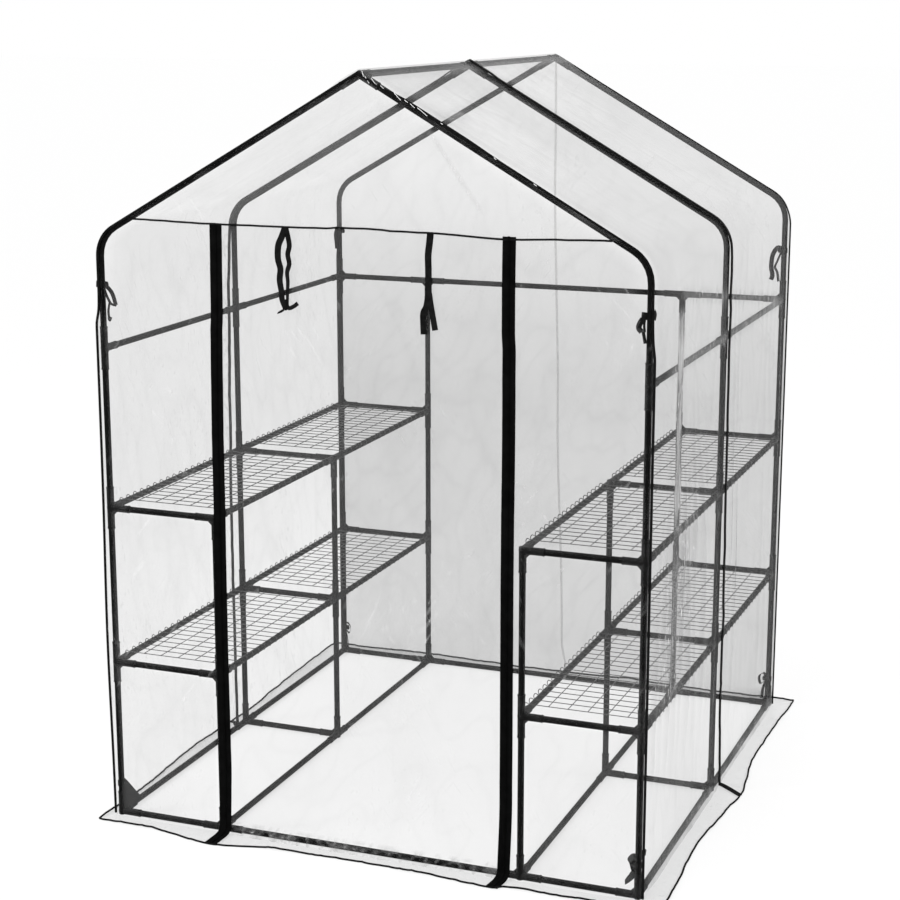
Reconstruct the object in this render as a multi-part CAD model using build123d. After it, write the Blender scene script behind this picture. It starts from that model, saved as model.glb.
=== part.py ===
from build123d import *
import os
from math import atan2, cos, pi, sin, tan

# A walk-in greenhouse of steel tubes in moulded connectors, with four wire
# shelves and a clear film cover with a zipped door.
# Millimetres. X runs to the right, Y to the back and Z up. The door faces -Y.
# The origin is on the ground, under the middle of the house.

# Frame
post_span = 1414
bay_length = 717
shelf_depth = 299
level_step = 414
ridge_height = 1937
eave_height = 1533
eave_bend = 85
tube_d = 16

bar_sides = 8

# Moulded connectors
sleeve_d = 20
sleeve_reach = 55
socket_floor = 14
socket_clearance = 0.15
seat_clearance = 0.3
corner_heel = 9

# Wire shelves
wire_d = 2.4
mesh_margin = 64
cross_wire_pitch = 84
long_wire_count = 3

# Cover
film_t = 1
door_rise = 47
zip_inset = 26
zip_w = 31
zip_t = 2
skirt_w = 58
hem_d = 4
piping_d = 5
middle_band_w = 14
middle_band_t = 3

# Ties and straps
knot_w = 12
knot_depth = 14
knot_l = 20
lower_tie_lift = 78
strap_w = 22
strap_t = 3
loop_strap_x = -186
loop_strap_l = 196
tail_strap_x = 180
tail_strap_l = 234

# Worked out from the sizes above
post_x = post_span / 2
inner_x = post_x - shelf_depth
front_y = -bay_length
rear_y = bay_length
arch_ys = (front_y, 0, rear_y)
ground_z = sleeve_d / 2
lower_z = ground_z + level_step
upper_z = lower_z + level_step
rail_z = upper_z + level_step
pitch = atan2(ridge_height - eave_height, post_x)
tube_r = tube_d / 2
door_top = eave_height + door_rise
zip_middle = inner_x - zip_inset
film_offset = sleeve_d / 2 + seat_clearance
film_face = film_offset + film_t
piping_face = film_face + seat_clearance
sides = {"left": -1, "right": 1}
axis_x = Vector(1, 0, 0)
axis_y = Vector(0, 1, 0)
axis_z = Vector(0, 0, 1)


def save(name, solids):
    """Writes one node, made of one or more solids."""
    solids = list(solids)
    shape = solids[0] if len(solids) == 1 else Compound(children=solids)
    export_step(shape, f"parts/{name}.step")


def box(low, high):
    """A block between two corners."""
    size = Vector(*high) - Vector(*low)
    return Pos(*low) * Box(size.X, size.Y, size.Z, align=(Align.MIN, Align.MIN, Align.MIN))


# Tubes

def bar_section(place, direction, radius):
    """The section of a tube or sleeve: an even-sided polygon with a flat on each side of it."""
    across = axis_x if abs(direction.Y) > abs(direction.X) + abs(direction.Z) else axis_y
    plane = Plane(origin=place, x_dir=across, z_dir=direction)
    turn = 180 / bar_sides
    return plane * RegularPolygon(radius, bar_sides, major_radius=False, rotation=turn)


def bar(place, direction, radius, length):
    """A straight bar from a place along a direction."""
    return extrude(bar_section(place, direction, radius), amount=length, dir=direction)


def tube(start, end):
    """A straight tube between the middles of two connectors."""
    start = Vector(*start)
    end = Vector(*end)
    run = (end - start).normalized()
    inset = socket_floor + seat_clearance
    length = (end - start).length - 2 * inset
    return bar(start + run * inset, run, tube_r, length).solid()


def tubes_along_y(x, z):
    """The tubes of both bays, in one line from the front to the back."""
    return [tube((x, y, z), (x, y + bay_length, z)) for y in arch_ys[:-1]]


def post(x, y, levels):
    """A post, in one length from each level to the next."""
    return [tube((x, y, low), (x, y, high)) for low, high in zip(levels, levels[1:])]


def arch_corners(offset):
    """Ridge and eave corners of the arch line, moved outward by an offset."""
    ridge = ridge_height + offset / cos(pitch)
    eave = eave_height + offset / cos(pitch) - offset * tan(pitch)
    return ridge, post_x + offset, eave


def half_arch_line(side, y, offset, foot, trim):
    """One side of the arch line: down the slope, round the eave and down the wall."""
    ridge, wall, eave = arch_corners(offset)
    down_slope = Vector(side * wall, y, eave) - Vector(0, y, ridge)
    start = Vector(0, y, ridge) + down_slope.normalized() * trim
    corner = Vector(side * wall, y, eave)
    return FilletPolyline(start, corner, Vector(side * wall, y, foot), radius=eave_bend + offset)


def half_arch(side, y):
    """The bent tube on one side of an arch, from the ridge to the side rail."""
    inset = socket_floor + seat_clearance
    line = half_arch_line(side, y, 0, rail_z + inset, inset)
    return sweep(bar_section(line @ 0, line % 0, tube_r), path=line).solid()


def arch(y):
    """Both bent tubes of an arch."""
    return [half_arch(side, y) for side in sides.values()]


def make_tubes():
    """All the steel tubes."""
    for name, side in sides.items():
        outer = side * post_x
        inner = side * inner_x
        levels = (ground_z, lower_z, upper_z, rail_z)
        save(f"{name}_outer_posts", [t for y in arch_ys for t in post(outer, y, levels)])
        tops = {front_y: levels[:3], 0: levels[:3], rear_y: levels}
        save(f"{name}_inner_posts", [t for y in arch_ys for t in post(inner, y, tops[y])])
        for shelf, z in (("lower", lower_z), ("upper", upper_z)):
            cross = [tube((outer, y, z), (inner, y, z)) for y in arch_ys]
            rails = tubes_along_y(outer, z) + tubes_along_y(inner, z)
            save(f"{name}_{shelf}_shelf_frame", rails + cross)
    for name, y in (("front", front_y), ("middle", 0), ("rear", rear_y)):
        save(f"{name}_arch", arch(y))
    save("ridge_tubes", tubes_along_y(0, ridge_height))
    side_rails = [t for x in (-post_x, post_x) for t in tubes_along_y(x, rail_z)]
    save("upper_rails", side_rails + bar_across(rear_y, rail_z))
    floor_lines = [t for x in (-post_x, -inner_x, inner_x, post_x) for t in tubes_along_y(x, ground_z)]
    middle_bars = [tube((s * post_x, 0, ground_z), (s * inner_x, 0, ground_z)) for s in sides.values()]
    save("floor_side_tubes", floor_lines + middle_bars)
    save("floor_front_bar", bar_across(front_y, ground_z))
    save("floor_rear_bar", bar_across(rear_y, ground_z))


def bar_across(y, z):
    """Three tubes across the house, through both inner posts."""
    stations = (-post_x, -inner_x, inner_x, post_x)
    return [tube((a, y, z), (b, y, z)) for a, b in zip(stations, stations[1:])]


# Connectors

def connector(place, arms):
    """A moulded connector with a socket on each arm. Place is its middle."""
    body = Part()
    for direction in arms:
        heel = corner_heel if closes_corner(direction, arms) else 0
        body += bar(direction * -heel, direction, sleeve_d / 2, heel + sleeve_reach)
    for direction in arms:
        socket = tube_r + socket_clearance
        body -= bar(direction * socket_floor, direction, socket, sleeve_reach - socket_floor)
    return (Pos(*place) * body).solid()


def closes_corner(direction, arms):
    """True for an upright or sloping arm with none opposite, whose back end fills the corner."""
    return direction.Z != 0 and -direction not in arms


def along(y):
    """The arms that hold the rails of the bays next to an arch."""
    arms = []
    if y > front_y:
        arms.append(-axis_y)
    if y < rear_y:
        arms.append(axis_y)
    return arms


def outer_connector(side, y, z, vertical, inward):
    """A connector on an outer post."""
    out = axis_x * -side
    arms = list(vertical) + along(y) + ([out] if inward else [])
    return connector((side * post_x, y, z), arms)


def inner_connector(side, y, z, vertical, aisle=False):
    """A connector on an inner post."""
    out = axis_x * side
    arms = list(vertical) + along(y) + [out] + ([-out] if aisle else [])
    return connector((side * inner_x, y, z), arms)


def base_connectors():
    """Outer and inner feet of the posts."""
    group = []
    for side in sides.values():
        for y in arch_ys:
            group.append(outer_connector(side, y, ground_z, [axis_z], True))
            group.append(inner_connector(side, y, ground_z, [axis_z], aisle=y != 0))
    return group


def shelf_connectors(z, top):
    """Connectors of one level of shelves. At the top the front inner posts end."""
    group = []
    for side in sides.values():
        for y in arch_ys:
            goes_on = not top or y == rear_y
            vertical = [axis_z, -axis_z] if goes_on else [-axis_z]
            group.append(outer_connector(side, y, z, [axis_z, -axis_z], True))
            group.append(inner_connector(side, y, z, vertical))
    return group


def rail_connectors():
    """Connectors under the arches and along the upper rear rail."""
    group = []
    for side in sides.values():
        for y in arch_ys:
            group.append(outer_connector(side, y, rail_z, [axis_z, -axis_z], y == rear_y))
        out = axis_x * side
        group.append(connector((side * inner_x, rear_y, rail_z), [-axis_z, out, -out]))
    return group


def ridge_connectors():
    """Connectors at the tops of the arches."""
    slopes = [Vector(side * cos(pitch), 0, -sin(pitch)) for side in sides.values()]
    group = []
    for y in arch_ys:
        rough = connector((0, y, ridge_height), slopes + along(y))
        under_roof = upright(arch_outline(sleeve_d / 2), y - sleeve_reach, y + sleeve_reach)
        group.append((rough & under_roof).solid())
    return group


def make_connectors():
    """All the moulded connectors."""
    save("base_connectors", base_connectors())
    save("lower_shelf_connectors", shelf_connectors(lower_z, False))
    save("upper_shelf_connectors", shelf_connectors(upper_z, True))
    save("rail_connectors", rail_connectors())
    save("ridge_connectors", ridge_connectors())


# Wire shelves

def centred(count, step):
    """Evenly spaced places about zero."""
    return [(i - (count - 1) / 2) * step for i in range(count)]


def mesh_panel():
    """One panel of welded wire about its own middle. Its bottom is at z = 0."""
    run = bay_length - 2 * mesh_margin
    cross_ys = centred(int(run / cross_wire_pitch) + 1, cross_wire_pitch)
    long_xs = centred(long_wire_count, shelf_depth / (long_wire_count - 1))
    plan = Sketch()
    for y in cross_ys:
        plan += Pos(0, y) * Rectangle(shelf_depth + wire_d, wire_d)
    for x in long_xs:
        plan += Pos(x, 0) * Rectangle(wire_d, cross_ys[-1] - cross_ys[0] + wire_d)
    return extrude(plan, amount=wire_d).solid()


def make_shelves():
    """Two panels in each shelf, laid on its side rails."""
    panel = mesh_panel()
    for name, side in sides.items():
        x = side * (post_x + inner_x) / 2
        for shelf, z in (("lower", lower_z), ("upper", upper_z)):
            top = z + tube_r + seat_clearance
            places = [(x, y + bay_length / 2, top) for y in arch_ys[:-1]]
            save(f"{name}_{shelf}_shelf_mesh", [Pos(*place) * panel for place in places])


# Cover

def arch_outline(offset):
    """The area inside the arch line, moved outward by an offset, down to the ground."""
    ridge, wall, eave = arch_corners(offset)
    corners = [(wall, 0), (wall, eave), (0, ridge), (-wall, eave), (-wall, 0)]
    area = Polygon(*corners, align=None)
    eaves = [v for v in area.vertices() if abs(v.Y - eave) < film_t]
    return fillet(eaves, radius=eave_bend + offset)


def upright(area, y_low, y_high):
    """An area drawn in X and Z, made solid between two places along Y."""
    plane = Plane(origin=(0, y_low, 0), x_dir=(1, 0, 0), z_dir=(0, -1, 0))
    return extrude(plane * area, amount=y_high - y_low, dir=(0, 1, 0)).solid()


def patch(x_low, x_high, z_low, z_high):
    """A rectangle in X and Z."""
    return Pos((x_low + x_high) / 2, (z_low + z_high) / 2) * Rectangle(x_high - x_low, z_high - z_low)


def roof_and_wall(side, y_low, y_high):
    """Film of one bay, from the ridge over the eave to the skirt."""
    band = arch_outline(film_face) - arch_outline(film_offset)
    half = patch(min(0, side * post_span), max(0, side * post_span), film_t, ridge_height * 2)
    return upright(band & half, y_low, y_high)


def end_film(x_low, x_high, z_low, z_high, y_low):
    """Flat film at the front or the back, cut to the arch."""
    area = arch_outline(film_face) & patch(x_low, x_high, z_low, z_high)
    return upright(area, y_low, y_low + film_t)


def make_film():
    """The clear film of the roof, walls and door."""
    front = front_y - film_face
    rear = rear_y + film_offset
    for name, side in sides.items():
        save(f"{name}_front_bay_film", [roof_and_wall(side, front_y - film_offset, 0)])
        save(f"{name}_rear_bay_film", [roof_and_wall(side, 0, rear_y + film_offset)])
    far = post_span
    peak = 2 * ridge_height
    slit = zip_middle - zip_w / 2
    save("front_gable_film", [end_film(-far, far, door_top, peak, front)])
    save("front_left_film", [end_film(-far, -slit - zip_w, film_t, door_top, front)])
    save("front_right_film", [end_film(slit + zip_w, far, film_t, door_top, front)])
    save("door_film", [end_film(-slit, slit, film_t, door_top, front)])
    save("rear_left_film", [end_film(-far, 0, film_t, peak, rear)])
    save("rear_right_film", [end_film(0, far, film_t, peak, rear)])


def mitred(inner, outer, depth):
    """One side of the skirt in plan, wider outside than inside."""
    corners = [(-inner, 0), (-outer, -depth), (outer, -depth), (inner, 0)]
    return extrude(Polygon(*corners, align=None), amount=film_t, dir=(0, 0, 1))


def make_skirt():
    """The skirt on the ground round the cover, and its hem."""
    wall_x = post_x + film_offset
    wall_y = rear_y + film_offset
    depth = film_t + skirt_w
    front = Pos(0, -wall_y, 0) * mitred(wall_x, wall_x + depth, depth)
    right = Pos(wall_x, 0, 0) * Rot(0, 0, 90) * mitred(wall_y, wall_y + depth, depth)
    save("front_skirt", [front])
    save("rear_skirt", [Rot(0, 0, 180) * front])
    save("right_skirt", [right])
    save("left_skirt", [Rot(0, 0, 180) * right])
    edge_x = wall_x + depth
    edge_y = wall_y + depth
    hem = [box((-edge_x - hem_d, y, 0), (edge_x + hem_d, y + hem_d, hem_d)) for y in (-edge_y - hem_d, edge_y)]
    end = edge_y - seat_clearance
    hem += [box((x, -end, 0), (x + hem_d, end, hem_d)) for x in (-edge_x - hem_d, edge_x)]
    save("skirt_hem", hem)


def bead(side, y, width, depth):
    """Piping over the film along one side of the arch line, down to the skirt."""
    band = arch_outline(piping_face + depth) - arch_outline(piping_face)
    half = patch(min(0, side * post_span), max(0, side * post_span), piping_d, ridge_height * 2)
    return upright(band & half, y - width / 2, y + width / 2)


def make_trim():
    """Zips and piping."""
    front = front_y - film_face
    zips = []
    for side in sides.values():
        x = side * zip_middle
        zips.append(box((x - zip_w / 2, front - zip_t + film_t, film_t), (x + zip_w / 2, front + film_t, door_top)))
    save("door_zips", zips)
    for name, y in (("front", front + piping_d / 2), ("rear", -front - piping_d / 2)):
        save(f"{name}_piping", [bead(side, y, piping_d, piping_d) for side in sides.values()])
    save("middle_piping", [bead(side, 0, middle_band_w, middle_band_t) for side in sides.values()])
    reach = (arch_corners(film_face)[0] - door_top) / tan(pitch) - piping_d / 2
    bead_y = front + film_t - zip_t - seat_clearance - piping_d / 4
    save("door_top_piping", [bar(Vector(-reach, bead_y, door_top), axis_x, piping_d / 4, 2 * reach)])


# Ties and straps

def knot(side, y, z):
    """The knot of a ribbon tied round a corner post, on its inner side."""
    near = post_x - tube_r - seat_clearance
    far = near - knot_depth
    low, high = sorted((side * near, side * far))
    return box((low, y - knot_w / 2, z - knot_l / 2), (high, y + knot_w / 2, z + knot_l / 2))


def upper_tie_height():
    """Midway between the mouth of the rail connector and the start of the bend."""
    mouth = rail_z + sleeve_reach
    bend_start = eave_height - eave_bend * tan((pi / 2 - pitch) / 2)
    return (mouth + bend_start) / 2


def make_ties():
    """Ribbons that hold the cover to the corner posts, and straps for the rolled door."""
    corners = [(side, y) for side in sides.values() for y in (front_y, rear_y)]
    save("upper_ties", [knot(side, y, upper_tie_height()) for side, y in corners])
    save("lower_ties", [knot(side, y, ground_z + lower_tie_lift) for side, y in corners])
    face = front_y - film_face - seat_clearance
    top = door_top - piping_d / 4 - seat_clearance
    straps = []
    for x, length in ((loop_strap_x, loop_strap_l), (tail_strap_x, tail_strap_l)):
        straps.append(box((x - strap_w / 2, face - strap_t, top - length), (x + strap_w / 2, face, top)))
    save("door_straps", straps)


make_tubes()
make_connectors()
make_shelves()
make_film()
make_skirt()
make_trim()
make_ties()
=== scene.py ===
from math import atan2, ceil, cos, exp, pi, radians, sin, sqrt, tan

import bpy
from mathutils import Matrix, Vector, noise


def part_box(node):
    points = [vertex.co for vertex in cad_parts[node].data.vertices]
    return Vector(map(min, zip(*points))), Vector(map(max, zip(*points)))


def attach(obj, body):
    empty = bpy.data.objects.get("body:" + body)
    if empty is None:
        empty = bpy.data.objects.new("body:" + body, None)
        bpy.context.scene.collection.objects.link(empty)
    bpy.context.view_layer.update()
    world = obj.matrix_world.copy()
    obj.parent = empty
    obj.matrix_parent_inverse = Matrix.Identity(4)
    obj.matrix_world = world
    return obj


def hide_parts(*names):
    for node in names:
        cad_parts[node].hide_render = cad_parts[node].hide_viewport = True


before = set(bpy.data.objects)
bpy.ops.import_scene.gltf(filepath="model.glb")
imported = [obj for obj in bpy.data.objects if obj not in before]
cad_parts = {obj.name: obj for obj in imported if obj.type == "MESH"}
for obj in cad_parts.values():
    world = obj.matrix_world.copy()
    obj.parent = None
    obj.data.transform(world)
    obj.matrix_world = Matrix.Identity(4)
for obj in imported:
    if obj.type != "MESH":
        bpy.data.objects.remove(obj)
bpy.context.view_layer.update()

# Metres, in the frame of the solids: X to the right, Y to the back, Z up.
POST_X = 0.707
INNER_X = 0.408
BAY = 0.717
ARCH_YS = (-BAY, 0.0, BAY)
GROUND_Z, LOWER_Z, UPPER_Z, RAIL_Z = LEVELS = (0.010, 0.424, 0.838, 1.252)
SHELVES = (("lower", LOWER_Z), ("upper", UPPER_Z))
RIDGE_Z = 1.937
EAVE_Z = 1.533
BEND = 0.085
PITCH = atan2(RIDGE_Z - EAVE_Z, POST_X)
TUBE_R = 0.008
TUBE_INSET = 0.0143
SLEEVE_R = 0.010
SLEEVE_REACH = 0.055
SOCKET_FLOOR = 0.014
SOCKET_R = 0.00815
HEEL = 0.009
FILM_OFFSET = 0.0108
END_Y = BAY + FILM_OFFSET
WALL_X = POST_X + FILM_OFFSET
DOOR_TOP = 1.580
SKIRT_Z = 0.0012
BEADS = {"front": 0.0033, "rear": 0.0023}
BAND_WIDE = 0.014
BAND_THICK = {-1: 0.0018, 1: 0.0032}
ZIP_WIDE = 0.031
RIBBON_THICK = 0.0009
WRAP_R = 0.0092
HEM_R = 0.0026
ROUND = 24
SIDES = {"left": -1, "right": 1}
ENDS = {"front": -1, "rear": 1}
X, Y, Z = Vector((1, 0, 0)), Vector((0, 1, 0)), Vector((0, 0, 1))


# Materials

class Nodes:
    """A short way to write the node tree of a material or a world."""

    def __init__(self, name, kind="materials"):
        self.data = getattr(bpy.data, kind).new(name)
        self.data.use_nodes = True
        self.tree = self.data.node_tree
        self.shader = self.tree.nodes.get("Principled BSDF")

    def add(self, kind, **values):
        node = self.tree.nodes.new("ShaderNode" + kind)
        for name, value in values.items():
            if name in node.inputs:
                node.inputs[name].default_value = value
            else:
                setattr(node, name, value)
        return node

    def link(self, out, into):
        self.tree.links.new(out, into)

    def place(self):
        return self.add("TexCoord").outputs["Object"]

    def noise(self, scale, detail=3.0, roughness=0.5, stretch=None, turn=None):
        """Noise from 0 to 1. Stretch packs it along each axis, once it has been turned."""
        place = self.place()
        if stretch:
            mapping = self.add("Mapping", Scale=stretch)
            if turn:
                mapping.vector_type = "TEXTURE"
                mapping.inputs["Rotation"].default_value = turn
                mapping.inputs["Scale"].default_value = [1 / s for s in stretch]
            self.link(place, mapping.inputs["Vector"])
            place = mapping.outputs["Vector"]
        node = self.add("TexNoise", Scale=scale, Detail=detail, Roughness=roughness)
        self.link(place, node.inputs["Vector"])
        return node.outputs["Fac"]

    def ramp(self, fac, *stops):
        node = self.add("ValToRGB")
        ends = node.color_ramp.elements
        while len(ends) < len(stops):
            ends.new(0.5)
        for end, (place, shade) in zip(ends, stops):
            end.position = place
            end.color = (shade, shade, shade, 1)
        self.link(fac, node.inputs["Fac"])
        return node.outputs["Color"]

    def math(self, operation, a, b):
        node = self.add("Math", operation=operation)
        for value, into in ((a, node.inputs[0]), (b, node.inputs[1])):
            if isinstance(value, float):
                into.default_value = value
            else:
                self.link(value, into)
        return node.outputs[0]

    def times(self, a, b):
        return self.math("MULTIPLY", a, b)

    def plus(self, a, b):
        return self.math("ADD", a, b)

    def creases(self):
        """Thin straight broken creases and a few fine flecks, in patches, as a mask for painted highlights."""
        total = None
        sets = (((0.25, 0.60, 0.2), (75.0, 75.0, 2.2), 2.3), ((-0.35, -0.50, 0.4), (105.0, 105.0, 3.2), 3.1),
                ((0.5, 0.15, 0.0), (90.0, 90.0, 6.0), 4.3))
        for turn, stretch, patches in sets:
            streak = self.ramp(self.noise(1.0, 0, 0.4, stretch, turn), (0.70, 0.0), (0.78, 1.0))
            patch = self.ramp(self.noise(patches, 1), (0.54, 0.0), (0.66, 1.0))
            streak = self.times(streak, patch)
            total = streak if total is None else self.plus(total, streak)
        return total

    def bump(self, height, strength, distance):
        node = self.add("Bump", Strength=strength, Distance=distance)
        self.link(height, node.inputs["Height"])
        self.link(node.outputs["Normal"], self.shader.inputs["Normal"])

    def set(self, **values):
        for name, value in values.items():
            self.shader.inputs[name.replace("_", " ")].default_value = value

    def drive(self, name, out):
        self.link(out, self.shader.inputs[name])

    def seen_directly(self):
        """1 for what the camera sees, also in a reflection or through something clear."""
        rays = self.add("LightPath").outputs
        either = self.math("MAXIMUM", rays["Is Camera Ray"], rays["Is Glossy Ray"])
        return self.math("MAXIMUM", either, rays["Is Transmission Ray"])

    def mix(self, share, a, b, output):
        """Sends a mix of two shaders to the output."""
        node = self.add("MixShader")
        self.link(share, node.inputs["Fac"])
        self.link(a.outputs[0], node.inputs[1])
        self.link(b.outputs[0], node.inputs[2])
        self.link(node.outputs[0], self.tree.nodes[output].inputs["Surface"])


def coat(name, mottle, shades, dull, dulls, bump, weave=None, **shader):
    """A dark opaque surface. Mottle and shades give its colour, and dull and dulls its roughness.
    Bump is the scale, strength and depth of its grain, or of its weave, where it has one."""
    n = Nodes(name)
    n.drive("Base Color", n.ramp(n.noise(*mottle), *shades))
    n.drive("Roughness", n.ramp(n.noise(dull), (0.3, dulls[0]), (0.7, dulls[1])))
    scale, strength, depth = bump
    if weave:
        way, distortion = weave
        wave = n.add("TexWave", Scale=scale, Distortion=distortion, Detail=1.0, bands_direction=way)
        n.link(n.place(), wave.inputs["Vector"])
        n.bump(wave.outputs["Fac"], strength, depth)
    else:
        n.bump(n.noise(scale, 2), strength, depth)
    n.set(**shader)
    return n.data


def film_material(name, clear, grey, fade=(), shine=0.5, grain=(190.0, 190.0, 32.0), crease_glint_share=0.24, dents=0.2):
    """Clear film. Its own mesh says where it is crumpled: there it is denser, with painted glints and a
    painted grey veil in its colour.
    Fade gives how dense it is by height, and grain how fine its glints are along each axis."""
    n = Nodes(name)
    crumple = n.add("Attribute", attribute_name="crumple").outputs["Fac"]
    fine = n.noise(22, 3, 0.4, (1.0, 1.0, 0.35))
    veil = n.ramp(fine, (0.30, clear * 0.98), (0.70, clear * 1.02))
    veil = n.times(veil, n.ramp(n.noise(1.7, 2), (0.35, 0.92), (0.65, 1.0)))
    if fade:
        split = n.add("SeparateXYZ")
        n.link(n.place(), split.inputs[0])
        height = n.times(split.outputs["Z"], 0.5)
        veil = n.times(veil, n.ramp(height, *((z / 2, share) for z, share in fade)))
    # Where the film is crumpled it is denser, and its colour is lifted towards white in glints: painted
    # highlights.
    halved = n.times(crumple, 0.5)
    glint = n.ramp(n.noise(1.0, 4, 0.6, grain), (0.56, 0.0), (0.70, 1.0))
    painted_glints = n.times(n.ramp(halved, (0.0, 0.0), (0.30, 0.55), (0.45, 0.42), (0.65, 0.10)), glint)
    # The crease lines add more painted highlights, at the share given.
    painted_glints = n.plus(painted_glints, n.times(n.creases(), crease_glint_share))
    n.drive("Alpha", n.plus(n.plus(veil, n.times(crumple, 0.50)), n.times(painted_glints, 0.42)))
    # A painted grey veil of scattered light, only where the film is crumpled most.
    painted_veil = n.ramp(halved, (0.0, 0.0), (0.42, 0.0), (0.52, 0.08), (0.72, 0.16))
    n.drive("Base Color", n.ramp(n.plus(painted_glints, painted_veil), (0.0, grey), (0.6, 0.95)))
    n.drive("Roughness", n.ramp(fine, (0.3, 0.14), (0.7, 0.26)))
    n.bump(n.noise(60, 3, 0.6, (1.0, 1.0, 0.35)), dents, 0.003)
    n.set(IOR=1.45, Specular_IOR_Level=shine)
    return n.data


STEEL = coat("dark coated steel", (160, 4, 0.65), ((0.30, 0.002), (0.60, 0.005), (0.78, 0.030)),
             45, (0.38, 0.58), (900, 0.25, 0.0003), IOR=1.35, Specular_IOR_Level=0.07)
PLASTIC = coat("black moulded plastic", (70, 4), ((0.3, 0.003), (0.7, 0.009)),
               30, (0.42, 0.58), (1400, 0.3, 0.0002), IOR=1.35, Specular_IOR_Level=0.12)
WIRE = coat("coated shelf wire", (220, 3), ((0.3, 0.018), (0.7, 0.050)), 120, (0.32, 0.5), (1200, 0.2, 0.0002))
BINDING = coat("black binding", (90, 3), ((0.3, 0.003), (0.7, 0.009)),
               60, (0.62, 0.80), (420, 0.4, 0.0003), ("Z", 0.6), IOR=1.3, Specular_IOR_Level=0.08)
ZIP = coat("black zip tape", (40, 3), ((0.3, 0.0015), (0.7, 0.0035)),
           50, (0.70, 0.90), (300, 0.35, 0.0004), ("Z", 0.3), IOR=1.3, Specular_IOR_Level=0.05)
RIBBON = coat("black ribbon", (120, 3), ((0.3, 0.003), (0.7, 0.010)),
              60, (0.6, 0.85), (520, 0.4, 0.0003), ("DIAGONAL", 0.4), IOR=1.3, Specular_IOR_Level=0.10)

CLEARER_BELOW = ((0.0, 0.45), (0.45, 0.55), (0.85, 1.0), (2.0, 1.0))
DENSER_BELOW = ((0.0, 0.95), (0.9, 1.0), (1.15, 0.85), (1.4, 0.55), (1.6, 0.32), (2.0, 0.25))
DOOR_FADE = ((0.0, 0.76), (0.5, 0.84), (0.9, 1.0), (2.0, 1.0))
ROOF_FADE = ((0.0, 0.64), (1.4, 0.64), (1.6, 0.72), (1.75, 0.82), (1.9, 1.0))
# The bays, the front and the back are one clear film in lit and shaded copies: each panel's grey, which lifts
# the film towards white, is painted glare set to the light that panel shows, and the back's dense, darkest
# film is painted shade.
SIDE_FILM = {
    -1: film_material("clear film of the left", 0.165, 0.08, CLEARER_BELOW),
    1: film_material("clear film of the right", 0.285, 0.17, ROOF_FADE, shine=0.12, crease_glint_share=0.07, dents=0.07),
}
DOOR_FILM = film_material("clear film of the door", 0.165, 0.26, DOOR_FADE, grain=(70.0, 70.0, 210.0))
PANEL_FILM = film_material("clear film beside the door", 0.150, 0.28)
GABLE_FILM = film_material("clear film of the gable", 0.190, 0.46)
REAR_FILM = film_material("clear film of the back", 0.340, 0.06, DENSER_BELOW)
SKIRT_FILM = film_material("clear film of the skirt", 0.20, 0.10, grain=(90.0, 90.0, 90.0))
SEAM = film_material("welded seam", 0.16, 0.06)
# Nearly opaque and nearly white: the painted highlights of the sharp crease strips.
CREASE_HIGHLIGHT = film_material("painted crease highlights", 0.90, 0.90, crease_glint_share=0.0)


# Meshes

SQUARE = ((-1, -1), (1, -1), (1, 1), (-1, 1))


class Shape:
    """Points and faces of one piece."""

    def __init__(self):
        self.points = []
        self.faces = []
        self.crumple = []

    def skin(self, rings, count):
        """Faces along rings of points, with both ends closed."""
        for a, b in zip(rings, rings[1:]):
            for k in range(count):
                m = (k + 1) % count
                self.faces.append((a + k, a + m, b + m, b + k))
        self.faces.append(tuple(rings[0] + k for k in reversed(range(count))))
        self.faces.append(tuple(rings[-1] + k for k in range(count)))

    def rod(self, path, radii, count=ROUND):
        """A round bar along a path, with flat ends."""
        path = [Vector(p) for p in path]
        if not hasattr(radii, "__len__"):
            radii = [radii] * len(path)
        rings = []
        side = None
        for i, middle in enumerate(path):
            ahead = path[min(i + 1, len(path) - 1)] - path[max(i - 1, 0)]
            ahead.normalize()
            if side is None:
                side = ahead.orthogonal().normalized()
            side = (side - ahead * side.dot(ahead)).normalized()
            up = ahead.cross(side)
            rings.append(len(self.points))
            for k in range(count):
                a = 2 * pi * k / count
                self.points.append(middle + side * (cos(a) * radii[i]) + up * (sin(a) * radii[i]))
        self.skin(rings, count)

    def grid(self, rows):
        """A sheet from rows of (point, crumple)."""
        first = len(self.points)
        wide = len(rows[0])
        for row in rows:
            for point, crumple in row:
                self.points.append(point)
                self.crumple.append(crumple)
        for r in range(len(rows) - 1):
            for c in range(wide - 1):
                a = first + r * wide + c
                self.faces.append((a, a + 1, a + wide + 1, a + wide))

    def band(self, path, across, wide, thick):
        """A flat strip along a path. Across gives its width's direction at each point, or at all of them."""
        if isinstance(across, Vector):
            across = [across] * len(path)
        rings = []
        last = len(path) - 1
        for i, place in enumerate(path):
            ahead = (path[min(i + 1, last)] - path[max(i - 1, 0)]).normalized()
            side = (across[i] - ahead * across[i].dot(ahead)).normalized()
            out = ahead.cross(side)
            rings.append(len(self.points))
            for a, b in SQUARE:
                self.points.append(place + side * (a * wide / 2) + out * (b * thick / 2))
        self.skin(rings, 4)

    def block(self, middle, a, b, c):
        """A small block with half-sides a, b and c."""
        first = len(self.points)
        for i in (-1, 1):
            for j, k in SQUARE:
                self.points.append(middle + a * i + b * j + c * k)
        self.skin([first, first + 4], 4)

    def mesh(self, name):
        mesh = bpy.data.meshes.new(name)
        mesh.from_pydata(self.points, [], self.faces)
        if self.crumple:
            field = mesh.attributes.new("crumple", "FLOAT", "POINT")
            field.data.foreach_set("value", self.crumple)
        return mesh


def in_scene(name, data):
    obj = bpy.data.objects.new(name, data)
    bpy.context.collection.objects.link(obj)
    return obj


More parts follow.
